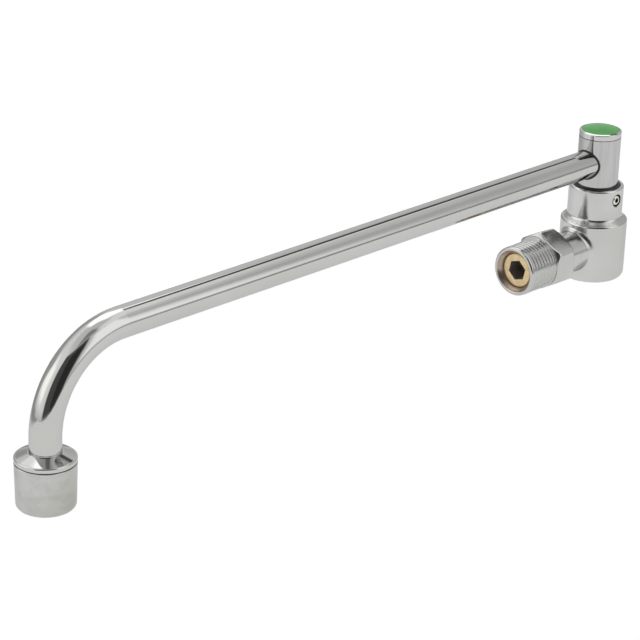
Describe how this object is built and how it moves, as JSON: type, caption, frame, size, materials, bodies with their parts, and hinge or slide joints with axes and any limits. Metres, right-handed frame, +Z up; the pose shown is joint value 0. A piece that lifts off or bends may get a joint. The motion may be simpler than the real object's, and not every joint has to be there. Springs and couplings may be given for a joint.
{
  "type": "pre rinse faucet",
  "caption": "Chrome swing-spout kitchen faucet: threaded inlet with hex, rotary valve barrel, swivelling post, long gooseneck arm and aerator nozzle.",
  "frame": {"origin": "on the axis of the inlet thread, at the front shoulder of the wrench hex where the thread ends", "axes": "-X runs along the inlet thread out of the body and is also the direction of the spout arm at rest, +Z is up along the swivel post"},
  "size_m": [0.3307, 0.0286, 0.0757],
  "materials": {
    "chrome": "polished chrome plate",
    "brass": "machined bare brass",
    "spring_steel": "bright spring steel",
    "screw_steel": "stainless steel",
    "black_rubber": "matt black rubber",
    "white_ptfe": "white low-friction plastic",
    "green_enamel": "glossy green resin",
    "aerator_plastic": "moulded grey plastic",
    "screen_steel": "perforated stainless sheet"
  },
  "bodies": {
    "valve": {"valve_body": "chrome", "inlet_retainer_screw": "brass", "seat_spring_discs": "spring_steel", "set_screw": "screw_steel", "thrust_washer": "white_ptfe", "collar_seal_ring": "black_rubber"},
    "seat": {"seat_carrier": "brass", "seat_carrier_oring": "black_rubber", "seat_seal": "white_ptfe"},
    "arm": {"swivel_stem": "chrome", "stem_oring_upper": "black_rubber", "stem_oring_lower": "black_rubber", "post_cap": "chrome", "post_cap_oring": "black_rubber", "index_disc": "green_enamel", "spout_tube": "chrome", "spout_joint_ring": "black_rubber", "nozzle_collar": "chrome", "nozzle_gasket": "black_rubber", "nozzle_cup": "chrome", "aerator_washer": "black_rubber", "aerator_screen": "screen_steel", "aerator_housing": "aerator_plastic", "aerator_diffuser": "aerator_plastic", "stream_straightener": "aerator_plastic"}
  },
  "joints": [
    {"name": "arm_swing", "type": "hinge", "parent": "valve", "child": "arm", "pos_m": [0.0363, 0, 0.0376], "axis": [0, 0, 1], "continuous": true},
    {"name": "seat_slide", "type": "slide", "parent": "valve", "child": "seat", "axis": [-1, 0, 0], "range_m": [0, 0.0006], "stiffness_N_per_m": 6000, "springref_m": -0.0004, "deforming": ["seat_spring_discs"]}
  ]
}
